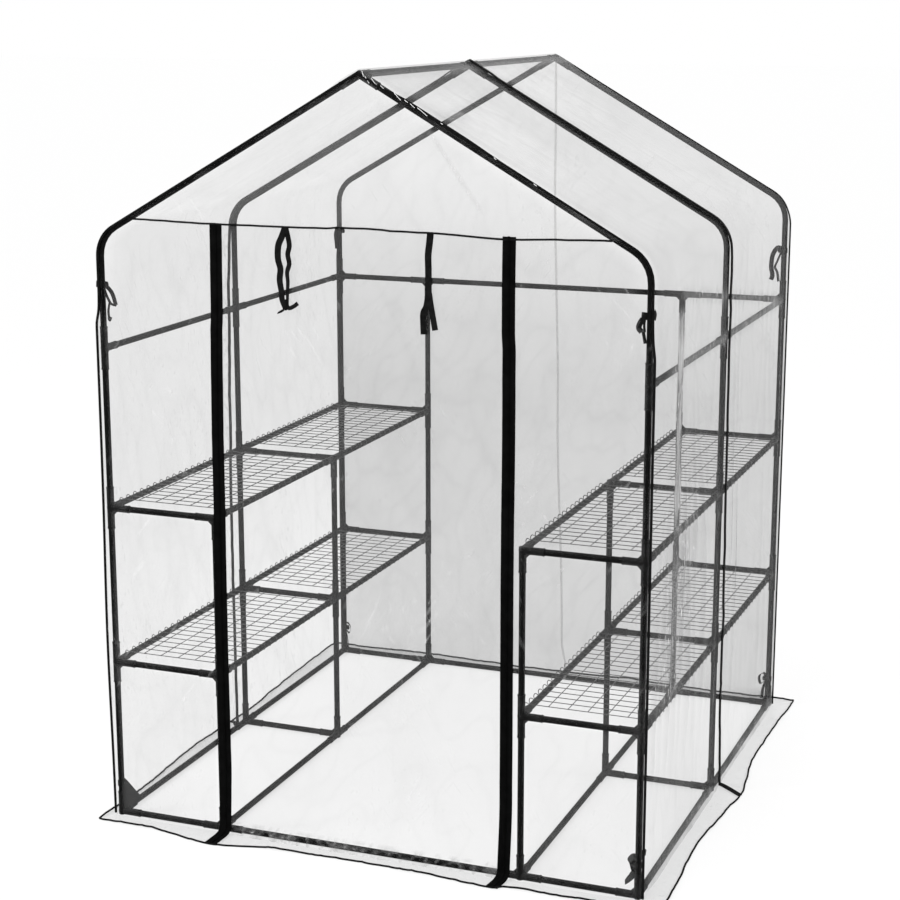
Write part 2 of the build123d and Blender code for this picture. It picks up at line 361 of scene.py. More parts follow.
def piece(name, mesh, material, slot, *nodes, sharp=35):
    """Puts a mesh in the scene as one piece of the object."""
    mesh.materials.append(material)
    mesh.polygons.foreach_set("use_smooth", [True] * len(mesh.polygons))
    mesh.set_sharp_from_angle(angle=radians(sharp))
    obj = in_scene(name, mesh)
    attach(obj, "root")
    if nodes:
        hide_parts(*nodes)
    return obj


def smooth_path(points, steps=8):
    """A smooth line through points."""
    points = [Vector(p) for p in points]
    ends = [2 * points[0] - points[1]] + points + [2 * points[-1] - points[-2]]
    line = []
    for p, a, b, q in zip(ends, ends[1:], ends[2:], ends[3:]):
        for i in range(steps):
            t = i / steps
            line.append(0.5 * (2 * a + (b - p) * t + (2 * p - 5 * a + 4 * b - q) * t * t
                               + (3 * a - p - 3 * b + q) * t ** 3))
    return line + [points[-1]]


def evenly(a, b, count):
    """Values from a to b in even steps."""
    return [a + (b - a) * i / count for i in range(count + 1)]


def between(stops, t):
    """A value eased between stops of (place, value)."""
    if t <= stops[0][0]:
        return stops[0][1]
    for (a, low), (b, high) in zip(stops, stops[1:]):
        if t <= b:
            s = (t - a) / (b - a)
            return low + (high - low) * s * s * (3 - 2 * s)
    return stops[-1][1]


def rise(t, a, b):
    """From 0 at a to 1 at b."""
    return between(((a, 0), (b, 1)), t)


def fall(t, a, b):
    """From 1 at a to 0 at b."""
    return between(((a, 1), (b, 0)), t)


def within(t, a, b, c, d):
    """From 0 at a to 1 at b, and from 1 at c back to 0 at d."""
    return between(((a, 0), (b, 1), (c, 1), (d, 0)), t)


def hump(t, middle, spread):
    return exp(-((t - middle) / spread) ** 2)


def waver(x, y, z):
    """Noise from about -1 to 1."""
    return noise.noise(Vector((x, y, z)))


def ridged(x, y, z):
    """Fold lines: 1 on a crease, and falling away from it."""
    return 1.0 - min(1.0, abs(waver(x, y, z)) * 3.2)


def soft(x, y, z):
    """Slow swell from 0 to 1."""
    return min(1.0, max(0.0, 0.5 + 0.9 * waver(x, y, z)))


# Camera, lights and stage

def make_camera():
    data = bpy.data.cameras.new("camera")
    data.sensor_width = 36.0
    data.lens = 79.52
    camera = in_scene("camera", data)
    right = Vector((0.93213, 0.36214, -0.00027))
    down = Vector((0.07986, -0.20629, -0.97523))
    ahead = Vector((-0.35322, 0.90901, -0.22121))
    turn = Matrix((right, -down, -ahead)).transposed().to_4x4()
    camera.matrix_world = Matrix.Translation((1.8866, -4.9956, 2.1067)) @ turn
    bpy.context.scene.camera = camera


def lamp(name, kind, energy, place, target, **values):
    data = bpy.data.lights.new(name, kind)
    data.energy = energy
    for key, value in values.items():
        setattr(data, key, value)
    obj = in_scene(name, data)
    obj.location = place
    obj.rotation_euler = (Vector(target) - Vector(place)).to_track_quat("-Z", "Y").to_euler()


def softbox(name, watts, place, target, wide, high):
    lamp(name, "AREA", watts, place, target, shape="RECTANGLE", size=wide, size_y=high)


def make_world():
    """White to the camera, and a softer light on the object."""
    n = Nodes("studio", "worlds")
    bpy.context.scene.world = n.data
    light = n.tree.nodes["Background"]
    light.inputs["Color"].default_value = (1, 1, 1, 1)
    light.inputs["Strength"].default_value = 0.64
    white = n.add("Background", Color=(1, 1, 1, 1), Strength=1.0)
    n.mix(n.seen_directly(), light, white, "World Output")


def make_floor():
    """A pale floor that shows nearly white to the camera and keeps the object's shadow."""
    mesh = bpy.data.meshes.new("floor")
    mesh.from_pydata([(60.0 * a, 60.0 * b, 0) for a, b in SQUARE], [], [(0, 1, 2, 3)])
    n = Nodes("pale floor")
    n.set(Base_Color=(0.98, 0.98, 0.98, 1), Roughness=0.9, Specular_IOR_Level=0.0)
    glow = n.add("Emission", Strength=1.0)
    n.mix(n.times(n.seen_directly(), 0.72), n.shader, glow, "Material Output")
    mesh.materials.append(n.data)
    in_scene("floor", mesh)


def make_studio():
    bpy.context.scene.view_settings.view_transform = "Standard"
    make_camera()
    make_world()
    make_floor()
    lamp("key", "SUN", 1.1, (0, 0, 0), (0.45, 0.75, -1.0), angle=radians(40))
    lamp("fill", "SUN", 0.5, (0, 0, 0), (-0.8, 0.35, -0.7), angle=radians(60))
    softbox("left strip", 55, (-3.2, -2.6, 2.6), (0, 0, 1.0), 0.9, 2.4)
    softbox("right strip", 50, (3.6, 0.6, 2.2), (0, 0, 1.0), 0.8, 2.6)
    softbox("back strip", 5, (-1.2, 3.6, 3.0), (0, 0, 1.2), 2.2, 0.8)


# The line of the arches

def corner_of(offset):
    """Height of the ridge, and place and height of the eave corner, on the arch line moved outward."""
    ridge = RIDGE_Z + offset / cos(PITCH)
    eave = EAVE_Z + offset / cos(PITCH) - offset * tan(PITCH)
    return ridge, POST_X + offset, eave


def arch_profile(offset, foot, step, trim=0.0):
    """(x, z, normal x, normal z) down one side of the arch line, at even steps."""
    ridge, wall, eave = corner_of(offset)
    radius = BEND + offset
    turn = pi / 2 - PITCH
    cut = radius * tan(turn / 2)
    line = []

    def add(start, length, place):
        count = max(2, ceil(length / step))
        line.extend(place(s) for s in evenly(0, length, count)[start:])

    def on_slope(s):
        s = trim + s
        return s * cos(PITCH), ridge - s * sin(PITCH), sin(PITCH), cos(PITCH)

    def on_arc(s):
        a = pi / 2 - PITCH - s / radius
        return wall - radius + radius * cos(a), eave - cut + radius * sin(a), cos(a), sin(a)

    def on_wall(s):
        return wall, eave - cut - s, 1.0, 0.0

    add(0, wall / cos(PITCH) - cut - trim, on_slope)
    add(1, radius * turn, on_arc)
    add(1, eave - cut - foot, on_wall)
    return line


def outline_x(z, offset=FILM_OFFSET):
    """How far the arch line reaches sideways at a height."""
    ridge, wall, eave = corner_of(offset)
    radius = BEND + offset
    cut = radius * tan((pi / 2 - PITCH) / 2)
    if z <= eave - cut:
        return wall
    if z >= eave + cut * sin(PITCH):
        return max(0.0, (ridge - z) / tan(PITCH))
    rise_by = z - (eave - cut)
    return wall - radius + sqrt(max(0.0, radius * radius - rise_by * rise_by))


# How the loose cover stands off its frame

GATHERS = ((-0.10, 0.012), (-0.055, 0.010), (0.07, 0.012), (0.115, 0.009), (0.46, 0.016), (0.62, 0.012))
FAN_TOP = -0.38
FAN_FEET = ((-0.67, 0.012), (-0.61, 0.016), (-0.555, 0.010), (-0.49, 0.018), (-0.43, 0.012), (-0.36, 0.015),
            (-0.29, 0.011), (-0.20, 0.014))


def gathers(y, z):
    """Folds in the right wall: some upright, and a fan that opens towards the ground."""
    deep = between(((0.05, 0.10), (0.35, 0.6), (0.7, 1.0), (1.1, 0.75), (1.45, 0.0)), z)
    lean = 0.03 * sin(2.1 * z + 0.4)
    total = 0.0
    for i, (middle, wide) in enumerate(GATHERS):
        drift = lean * (1 if i % 2 else 0.5) + 0.006 * waver(i * 3.1, z * 4, 0)
        total += hump(y, middle + drift, wide) * (0.6 + 0.4 * sin(5 * z + i * 1.7))
    open_by = between(((0.30, 1.0), (0.75, 0.88), (1.30, 0.35)), z)
    fan = between(((0.18, 0.0), (0.36, 0.8), (0.60, 1.0), (0.85, 0.85), (1.05, 0.40), (1.35, 0.0)), z)
    for i, (foot, wide) in enumerate(FAN_FEET):
        middle = FAN_TOP + (foot - FAN_TOP) * open_by + 0.005 * waver(i * 5.3, z * 5, 2)
        reach = wide * (0.6 + 0.8 * open_by)
        total += 1.2 * fan / max(deep, 0.1) * hump(y, middle, reach) * (0.65 + 0.35 * sin(6 * z + i * 2.3))
    return min(2.2, max(0.0, total)) * deep


def rail_veil(y, z):
    """The wrinkles that hide the rear rail in the front view: denser film, with painted glints on it."""
    line = 1.359 - 0.149 * y + 0.006 * waver(17 * y, 0, 5)
    wrinkled = 0.35 + 0.65 * ridged(34 * y, 12 * z, 8)
    return hump(z, line, 0.017) * within(y, -0.52, -0.46, 0.52, 0.64) * wrinkled


def side_veil(y, z):
    """The hazy parts of the right wall: one broad fold, before the inner post and the rail, and its foot. All
    are denser film with painted glints, and where they are most crumpled, before the inner post above all, the
    film also gets a painted grey veil of scattered light.
    """
    middle = -0.42 - 0.37 * (0.80 - z) + 0.010 * waver(0, 1, 6 * z)
    broad = hump(y, middle, 0.135) * between(((0.40, 0), (0.48, 0.7), (0.60, 1), (0.76, 1), (0.90, 0.45),
                                              (1.05, 0.15), (1.20, 0)), z)
    broad *= 0.72 + 0.28 * soft(38 * y, 5 * z, 3.0)
    sway = abs(y + 0.493 + 0.004 * waver(0, 0, 9 * z))
    before_post = fall(sway, 0.020, 0.038) * within(z, 0.80, 0.94, 1.37, 1.41)
    before_post *= 0.62 + 0.38 * ridged(60 * y, 7 * z, 9.0)
    before_rail = hump(z, 1.258, 0.015) * within(y, -0.62, -0.55, 0.60, 0.68)
    before_rail = 0.72 * before_rail * (0.7 + 0.3 * soft(45 * y, 0, 1))
    foot = fall(z, 0.022, 0.060) * (0.35 + 0.65 * soft(9 * y, 8 * z, 6.0)) * rise(y, -0.70, -0.62)
    low = hump(y, -0.35, 0.30) * hump(z, 0.20, 0.18)
    return max(0.80 * broad, 1.40 * before_post, before_rail) + 0.75 * foot + 0.20 * low


def wall_bulge(side, y, z):
    """How far a side wall stands out, and how crumpled it is."""
    pinned = 1 - 0.95 * rise(abs(y), BAY - 0.12, BAY)
    swell = 0.0055 * soft(1.9 * y, 1.5 * z, 7.0 * side)
    crease = ridged(5.5 * y, 2.1 * z, 11.0 * side) ** 3
    small = ridged(15.0 * y + 3.0 * z, 6.0 * z, 23.0 * side) ** 3
    out = (swell + 0.0016 * crease + 0.0010 * small) * pinned
    # Crumple makes the film denser and places painted glints on it; the right wall's folds and veils add to
    # it.
    rough = 0.06 * crease + 0.06 * small
    if side > 0:
        fold = gathers(y, z)
        out += 0.0070 * fold
        rough += 0.16 * fold + 0.80 * rail_veil(y, z) + side_veil(y, z)
    else:
        out += 0.005 * hump(z, 0.50, 0.30) * fall(y, -0.72, -0.35)
        rough += 0.33 * hump(y, -0.03, 0.03) * ridged(30.0 * y, 22.0 * z, 4.0) ** 2
    return out, rough


def end_bulge(end, x, z):
    """How far the front or the back stands out, and how crumpled it is."""
    pinned = 1 - 0.95 * rise(abs(x), POST_X - 0.12, POST_X)
    swell = 0.0045 * soft(2.1 * x, 1.3 * z, 5.0 + 9.0 * end)
    crease = ridged(4.0 * x + 1.2 * z, 2.2 * z, 31.0 * end) ** 3
    small = ridged(13.0 * x - 4.0 * z, 8.0 * z, 17.0 * end) ** 3
    out = (swell + 0.0013 * crease + 0.0008 * small) * pinned
    rough = 0.06 * crease + 0.06 * small
    if end < 0:
        # One long crease in the gable, from a start at (0.179, 1.815) down to the right, shown as a line of
        # painted glints.
        x_on, z_on = x - 0.179, z - 1.815
        past, along_it = x_on * 0.813 + z_on * 0.581, x_on * 0.581 - z_on * 0.813
        rough += 0.45 * hump(past, 0, 0.005) * within(along_it, -0.01, 0.02, 0.20, 0.24)
        # Film crushed over the front floor bar: it stands out, is denser, and gets painted glints.
        foot = fall(z, 0.024, 0.042) * fall(abs(x), 0.33, 0.41)
        crush = ridged(31 * x, 55 * z, 2.0) ** 2
        out += 0.008 * foot * crush
        rough += 0.95 * foot * crush
    else:
        out += 0.004 * soft(3 * x, 3 * z, 60.0) * pinned
    return out, rough


def roof_sag(x, y, z):
    """How the roof hangs a little between the arches, and how crumpled it is."""
    belly = sin(pi * min(1.0, abs(y) / BAY)) ** 2 * within(abs(x), 0.0, 0.12, 0.58, 0.69)
    crease = ridged(3.0 * x + 2.0 * y, 6.5 * y, 41.0) ** 3
    small = ridged(9.0 * x, 17.0 * y, 47.0) ** 3
    drop = -0.010 * belly + 0.0012 * crease * belly + 0.0004 * small * belly
    rough = 0.05 * crease + 0.03 * small
    # More crumple on the right slope, by the ridge and towards the front: denser film with painted glints.
    if x > 0:
        rough += 0.25 * within(x, 0.010, 0.022, 0.034, 0.055)
        rough += 0.35 * hump(x, 0.19, 0.030) * within(y, -0.70, -0.66, -0.53, -0.48)
        rough += 0.30 * hump(x, 0.58, 0.10) * fall(y, -0.73, -0.60) * soft(14 * x, 14 * y, 3)
    return drop, rough


# How far the cover is drawn in onto a tube, and round the corner of the front and rear arches.
TO_TUBE = 0.0024
ROUND_CORNER = 0.0050


def held_from(side, end):
    """The height from which the cover lies close on an arch. It stands off more at the right rear."""
    return 1.47 if side > 0 and end > 0 else 1.31


def snug(side, end, x, y, z):
    """How the cover is pulled in onto the arches, above the side rails and clear of the ridge connectors."""
    near = max(fall(abs(y), 0.014, 0.055), fall(abs(abs(y) - BAY), 0.014, 0.055))
    low = held_from(side, end)
    held = rise(z, low, low + 0.05) * rise(abs(x), 0.052, 0.085)
    level = rise(z, 1.44, 1.60)
    normal = Vector((side * (1 - (1 - sin(PITCH)) * level), 0, cos(PITCH) * level))
    past = max(0.0, (abs(y) - BAY) / (END_Y - BAY)) ** 2
    at_edge = between(((0.0, 1), (0.008, 0.3), (0.030, 0)), outline_x(z) - abs(x))
    inward = normal * -(TO_TUBE * near + (ROUND_CORNER - TO_TUBE) * past * at_edge)
    inward.y -= end * ROUND_CORNER * past * at_edge
    return inward * held


def clear_on_sides(side, y, z):
    """The right film is clearer where it lies on a tube, as seen from the front."""
    if side < 0:
        return 0.0
    front, middle, rear = (hump(y, place - 0.025, 0.022) for place in ARCH_YS)
    rear *= 1 - 0.7 * rise(z, 1.45, 1.55)
    front = max(front, hump(y, -BAY, 0.020))
    low = -max(front, middle, 0.6 * rear) * between(((1.36, 0.18), (1.50, 0.36)), z)
    return min(low, -0.42 * hump(y, -0.036, 0.032) * rise(z, 1.50, 1.58))


def clear_on_front(x, z):
    """The front film is clearer over the posts, the shelf ends, the floor bar and the arch."""
    x, z = abs(x - 0.004), z - 0.003
    wide = 0.0095
    posts_here = max(hump(x, POST_X, wide), hump(x, INNER_X, wide) * fall(z, UPPER_Z, UPPER_Z + 0.01))
    posts_here *= fall(z, EAVE_Z - 0.05, EAVE_Z)
    bars = max(hump(z, level, wide) for _, level in SHELVES) * rise(x, INNER_X - 0.01, INNER_X)
    arch = hump(outline_x(z, 0.0) - x, 0.004, 0.034) * rise(z, RAIL_Z, EAVE_Z)
    return -0.36 * max(posts_here, bars, arch, 0.8 * hump(z, GROUND_Z, wide))


def drape(x, y, z):
    """Moves a place on the plain shell to where the loose cover is. Also says how crumpled it is, which makes
    the film denser and sets where it gets painted glints and a painted grey veil.
    """
    p = Vector((x, y, z))
    x, y, z = p
    side = 1 if x > 0 else -1
    end = 1 if y > 0 else -1
    near_wall = min(1.0, abs(x) / WALL_X) ** 8
    near_end = min(1.0, abs(y) / END_Y) ** 8
    inside = outline_x(z) - abs(x)
    out_x, rough_x = wall_bulge(side, y, z)
    out_y, rough_y = end_bulge(end, x, z)
    eave = fall(z, EAVE_Z - 0.12, EAVE_Z + 0.04)
    move = Vector((side * out_x * near_wall * eave, end * out_y * near_end, 0))
    rough = max(rough_x * near_wall * eave, rough_y * near_end)
    if z > EAVE_Z - 0.05:
        drop, rough_z = roof_sag(x, y, z)
        move.z += drop
        rough = max(rough, rough_z * fall(inside, 0.012, 0.040) * rise(z, EAVE_Z - 0.05, EAVE_Z + 0.03))
    if z > RAIL_Z:
        move += snug(side, end, x, y, z)
    clear = clear_on_sides(side, y, z) * fall(inside, 0.010, 0.012)
    if end < 0:
        clear = min(clear, clear_on_front(x, z) * fall(END_Y - abs(y), 0.0, 0.006))
    return p + move, min(1.5, rough + clear)


def on_cover(x, y, z, out=0.0):
    """A place on the loose cover, moved along Y."""
    return drape(x, y, z)[0] + Y * out


def base_of_bead(which, side, y, x, z, nx, nz):
    """The middle of a line of piping at one place on the arch line."""
    p = on_cover(side * x, y, z)
    if which == "middle":
        lift = BAND_THICK[side] / 2 + 0.0002
        return p + Vector((side * nx * lift, 0, nz * lift))
    lift = BEADS[which] + 0.0003
    over = p + Vector((side * nx * lift, 0, nz * lift))
    end = ENDS[which]
    low = held_from(side, end)
    # How far the bead lies from the tube's middle, ahead of it and above it: on the slope, then by the ridge.
    ahead, up = (0.0116, 0.0035) if which == "front" and side < 0 else (0.0080, 0.0080)
    ridge_ahead, ridge_up = (0.0146, 0.0035) if which == "front" else (0.0090, 0.0088)
    at_ridge = fall(x, 0.060, 0.130)
    ahead, up = ahead + (ridge_ahead - ahead) * at_ridge, up + (ridge_up - up) * at_ridge
    tube = Vector((side * max(0.0, x - nx * FILM_OFFSET), end * BAY, min(RIDGE_Z, z - nz * FILM_OFFSET)))
    rise_way = Vector((side * nx * min(1.0, x / 0.02), 0, nz)).normalized()
    return over.lerp(tube + rise_way * up + Y * (end * ahead), rise(z, low, low + 0.09))


# Steel tubes

STATIONS = (-POST_X, -INNER_X, INNER_X, POST_X)


def tubes(node, runs):
    """One node's straight tubes, each between two middles of connectors."""
    shape = Shape()
    for a, b in runs:
        a, b = Vector(a), Vector(b)
        inset = (b - a).normalized() * TUBE_INSET
        shape.rod([a + inset, b - inset], TUBE_R)
    steel(node, shape)


def steel(node, shape):
    piece(f"{node}_round", shape.mesh(node), STEEL, "steel_tube", node)


def posts(x, levels_at):
    return [((x, y, low), (x, y, high)) for y in ARCH_YS for low, high in zip(levels_at(y), levels_at(y)[1:])]


def rails(z, *xs):
    return [((x, y, z), (x, y + BAY, z)) for x in xs for y in ARCH_YS[:-1]]


def across(y, z):
    return [((a, y, z), (b, y, z)) for a, b in zip(STATIONS, STATIONS[1:])]


def make_tubes():
    for name, side in SIDES.items():
        outer, inner = side * POST_X, side * INNER_X
        tubes(f"{name}_outer_posts", posts(outer, lambda y: LEVELS))
        tubes(f"{name}_inner_posts", posts(inner, lambda y: LEVELS if y > 0 else LEVELS[:3]))
        for shelf, z in SHELVES:
            ends = [((outer, y, z), (inner, y, z)) for y in ARCH_YS]
            tubes(f"{name}_{shelf}_shelf_frame", rails(z, outer, inner) + ends)
    for name, y in zip(("front", "middle", "rear"), ARCH_YS):
        shape = Shape()
        line = arch_profile(0.0, RAIL_Z + TUBE_INSET, 0.02, TUBE_INSET)
        for side in SIDES.values():
            shape.rod([(side * x, y, z) for x, z, _, _ in line], TUBE_R)
        steel(f"{name}_arch", shape)
    tubes("ridge_tubes", rails(RIDGE_Z, 0))
    tubes("upper_rails", rails(RAIL_Z, -POST_X, POST_X) + across(BAY, RAIL_Z))
    bars = [((side * POST_X, 0, GROUND_Z), (side * INNER_X, 0, GROUND_Z)) for side in SIDES.values()]
    tubes("floor_side_tubes", rails(GROUND_Z, *STATIONS) + bars)
    for name, end in ENDS.items():
        tubes(f"floor_{name}_bar", across(end * BAY, GROUND_Z))


# Moulded connectors

def connector_mesh(arms):
    """Sleeves that meet in a rounded middle, with a lip at each mouth and small webs between."""
    lip = SLEEVE_R
    neck = SLEEVE_R - 0.0006
    outer = Shape()
    for d in arms:
        open_corner = abs(d.z) > 0.9 and -d not in arms
        back = HEEL if open_corner else 0.0
        places = (-back, -back + 0.0012, SLEEVE_REACH - 0.005, SLEEVE_REACH - 0.0035,
                  SLEEVE_REACH - 0.0008, SLEEVE_REACH)
        outer.rod([d * a for a in places], (SLEEVE_R - 0.0018, neck, neck, lip, lip, neck))
    heights = [SLEEVE_R * sin(radians(a)) for a in (-85, -60, -35, -12, 12, 35, 60, 85)]
    outer.rod([Z * h for h in heights], [sqrt(SLEEVE_R ** 2 - h * h) for h in heights])
    holes = Shape()
    for d in arms:
        holes.rod([d * SOCKET_FLOOR, d * (SLEEVE_REACH + 0.002)], SOCKET_R)
    for i, a in enumerate(arms):
        for b in arms[i + 1:]:
            if abs(a.dot(b)) < 0.1:
                web(outer, a, b)
    body = in_scene("body", outer.mesh("body"))
    cutter = in_scene("cutter", holes.mesh("cutter"))
    cut = body.modifiers.new("cut", "BOOLEAN")
    cut.operation = "DIFFERENCE"
    cut.solver = "EXACT"
    cut.use_self = True
    cut.object = cutter
    mesh = bpy.data.meshes.new_from_object(body.evaluated_get(bpy.context.evaluated_depsgraph_get()))
    bpy.data.objects.remove(body)
    bpy.data.objects.remove(cutter)
    return mesh


def web(shape, a, b):
    """A small rib in the corner between two sleeves."""
    thick = a.cross(b).normalized() * 0.0022
    low, middle, reach = 0.004, 0.0085, 0.019
    corners = ((low, low), (reach, low), (reach, middle), (middle, reach), (low, reach))
    flat = [a * p + b * q for p, q in corners]
    first = len(shape.points)
    for s in (-1, 1):
        shape.points.extend(p + thick * s for p in flat)
    shape.skin([first, first + len(flat)], len(flat))


MOULDS = {}


def place_connector(shape, place, arms):
    """Adds one connector, from its mould, at a place."""
    arms = [Vector(a) for a in arms]
    key = tuple(sorted(tuple(round(c, 4) for c in a) for a in arms))
    if key not in MOULDS:
        MOULDS[key] = connector_mesh(arms)
    mould = MOULDS[key]
    first = len(shape.points)
    shape.points.extend(Vector(place) + v.co for v in mould.vertices)
    shape.faces.extend(tuple(first + i for i in f.vertices) for f in mould.polygons)


def make_connectors():
    groups = {}

    def put(node, place, arms):
        place_connector(groups.setdefault(node, Shape()), place, arms)

    along = {y: [-Y] * (y > -BAY) + [Y] * (y < BAY) for y in ARCH_YS}
    for side in SIDES.values():
        outer, inner, out = side * POST_X, side * INNER_X, X * side
        for y, rail in along.items():
            put("base_connectors", (outer, y, GROUND_Z), [Z] + rail + [-out])
            put("base_connectors", (inner, y, GROUND_Z), [Z] + rail + [out] + [-out] * (y != 0))
            for shelf, z in SHELVES:
                node = f"{shelf}_shelf_connectors"
                put(node, (outer, y, z), [Z, -Z] + rail + [-out])
                put(node, (inner, y, z), [Z] * (shelf == "lower" or y > 0) + [-Z] + rail + [out])
            put("rail_connectors", (outer, y, RAIL_Z), [Z, -Z] + rail + [-out] * (y > 0))
        put("rail_connectors", (inner, BAY, RAIL_Z), [-Z, out, -out])
    slopes = [Vector((s * cos(PITCH), 0, -sin(PITCH))) for s in SIDES.values()]
    for y, rail in along.items():
        put("ridge_connectors", (0, y, RIDGE_Z), slopes + rail)
    for node, shape in groups.items():
        piece(f"{node}_moulded", shape.mesh(node), PLASTIC, "moulded_plastic", node)


# Wire shelves

WIRE_R = 0.0011
CROSS_PITCH = 0.035
CROSS_COUNT = 18
LONG_COUNT = 7
# A curled wire end, out from the rail's middle and up: loose on the aisle side, close on the wall side.
LOOSE_CURL = ((-0.011, 0.0092), (-0.003, 0.0093), (0.003, 0.0102), (0.0075, 0.0124), (0.0116, 0.0108),
              (0.0132, 0.0055), (0.0122, 0.0000), (0.0100, -0.0035))
CLOSE_CURL = ((-0.011, 0.0092), (-0.003, 0.0093), (0.001, 0.0106), (0.0048, 0.0122), (0.0082, 0.0098),
              (0.0094, 0.0045), (0.0093, -0.0020), (0.0084, -0.0050))


def cross_wire(x_out, x_in, y, level, side):
    """A cross wire that rests on both rails, with its ends curled over them."""
    outer = [Vector((x_out + side * a, y, level + b)) for a, b in reversed(CLOSE_CURL)]
    inner = [Vector((x_in - side * a, y, level + b)) for a, b in LOOSE_CURL]
    return smooth_path(outer, 2) + smooth_path(inner, 2)


def make_shelves():
    reach = (CROSS_COUNT - 1) * CROSS_PITCH / 2
    for name, side in SIDES.items():
        x_out, x_in = side * POST_X, side * INNER_X
        for shelf, level in SHELVES:
            node = f"{name}_{shelf}_shelf_mesh"
            over = level + TUBE_R + 3 * WIRE_R - 0.0001
            shape = Shape()
            for bay in ARCH_YS[:-1]:
                middle = bay + BAY / 2
                for i in range(CROSS_COUNT):
                    y = middle - reach + i * CROSS_PITCH
                    shape.rod(cross_wire(x_out, x_in, y, level, side), WIRE_R, 6)
                ends = (middle - reach - 0.004, middle + reach + 0.004)
                for x in evenly(x_out, x_in, LONG_COUNT - 1)[1:-1]:
                    shape.rod([(x, y, over) for y in ends], WIRE_R, 6)
            piece(f"{node}_wires", shape.mesh(node), WIRE, "shelf_wire", node, sharp=70)


# The cover

STEP = 0.008
# Where the zips run, by height.
ZIP_LINES = {
    -1: ((0.0, -0.393), (0.2, -0.388), (0.6, -0.388), (1.0, -0.386), (1.4, -0.381), (1.58, -0.378)),
    1: ((0.0, 0.370), (0.2, 0.3744), (0.7, 0.3748), (1.2, 0.3766), (1.58, 0.3766)),
}


def zip_x(side, z, past=0.0):
    """Where a zip runs, or a line past it."""
    return between(ZIP_LINES[side], z) + past


def seam_x(z):
    """Where the seam of the back runs."""
    return between(((0.0, 0.060), (0.13, 0.040), (0.9, 0.017), (1.6, 0.001), (2.0, 0.0)), z)


def door_line(x):
    """Height of the piping above the door."""
    stops = ((-0.61, 1.5835), (-0.39, 1.5800), (-0.2, 1.5802), (0.0, 1.5825), (0.18, 1.5815),
             (0.37, 1.5745), (0.5, 1.5790), (0.61, 1.5815))
    return between(stops, x)


def film(name, node, rows, material):
    shape = Shape()
    shape.grid(rows)
    obj = piece(name, shape.mesh(node), material, "clear_film", node, sharp=180)


def make_bays():
    """The roof and wall of each bay, in one sheet from the ridge to the ground."""
    line = arch_profile(FILM_OFFSET, SKIRT_Z, STEP)
    for name, side in SIDES.items():
        for bay, low, high in (("front", -END_Y, 0.0), ("rear", 0.0, END_Y)):
            ys = evenly(low, high, ceil((high - low) / STEP))
            rows = [[drape(side * x, y, z) for y in ys] for x, z, _, _ in line]
            sheet = f"{name}_{bay}_bay"
            film(f"{sheet}_sheet", f"{sheet}_film", rows, SIDE_FILM[side])


def make_panels():
    """The sheets of the front and the back, each from one line to another, both given by height."""
    ridge = corner_of(FILM_OFFSET)[0] - 0.004
    top = DOOR_TOP + 0.001
    edge = ZIP_WIDE / 2
    wall = (lambda z: -outline_x(z)), outline_x
    door = (lambda z: zip_x(-1, z, edge)), (lambda z: zip_x(1, z, -edge))
    beside = (lambda z: zip_x(-1, z, -edge)), (lambda z: zip_x(1, z, edge))
    panels = (
        ("front_gable", GABLE_FILM, *wall, top, ridge, 150, 2 * outline_x(top), ridge - top, ["front_arch"]),
        ("front_left", PANEL_FILM, wall[0], beside[0], SKIRT_Z, DOOR_TOP, 42, 0.330, DOOR_TOP,
         ["left_outer_posts", "door_zips_tape"]),
        ("front_right", PANEL_FILM, beside[1], wall[1], SKIRT_Z, DOOR_TOP, 42, 0.330, DOOR_TOP,
         ["right_outer_posts", "door_zips_tape"]),
        ("door", DOOR_FILM, *door, SKIRT_Z, DOOR_TOP, 104, 0.736, DOOR_TOP,
         ["door_zips_tape", "floor_front_bar"]),
        ("rear_left", REAR_FILM, wall[0], seam_x, SKIRT_Z, ridge, 92, 0.78, ridge, ["rear_arch"]),
        ("rear_right", REAR_FILM, seam_x, wall[1], SKIRT_Z, ridge, 92, 0.72, ridge, ["rear_arch"]),
    )
    for name, material, left, right, low, high, columns, wide, tall, rests in panels:
        y = END_Y if name.startswith("rear") else -END_Y
        rows = [[drape(x, y, z) for x in evenly(left(z), right(z), columns)]
                for z in evenly(low, high, ceil((high - low) / STEP))]
        film(f"{name}_sheet", f"{name}_film", rows, material)


# How far the skirt lies out, along each side of the cover.
SKIRT_EDGES = {
    "front": ((-0.745, 0.045), (-0.604, 0.046), (-0.398, 0.081), (-0.2275, 0.048), (0.003, 0.042),
              (0.167, 0.047), (0.362, 0.063), (0.396, 0.044), (0.555, 0.047), (0.78, 0.060)),
    "right": ((-0.79, 0.060), (-0.70, 0.059), (-0.359, 0.0437), (-0.133, 0.0607), (-0.011, 0.074),
              (0.299, 0.0453), (0.487, 0.0476), (0.735, 0.055), (0.79, 0.055)),
    "rear": ((-0.78, 0.056), (-0.4, 0.070), (-0.1, 0.050), (0.25, 0.066), (0.55, 0.048), (0.78, 0.057)),
    "left": ((-0.79, 0.027), (-0.55, 0.026), (-0.25, 0.044), (0.1, 0.034), (0.45, 0.050), (0.79, 0.056)),
}
SKIRT_COLUMNS = 190
SKIRT_ROWS = 9


def skirt_reach(name, t):
    """How far the skirt lies out from the wall."""
    half = WALL_X if name in ENDS else END_Y
    t = max(-half, min(half, t))
    return between(SKIRT_EDGES[name], t) + 0.0022 * waver(t * 19, 3.0, len(name))


def skirt_corner(sx, sy):
    """The corner of the skirt, where two of its sides meet."""
    end = "front" if sy < 0 else "rear"
    side = "left" if sx < 0 else "right"
    return Vector((sx * (WALL_X + skirt_reach(side, sy * END_Y)),
                   sy * (END_Y + skirt_reach(end, sx * WALL_X)), 0))


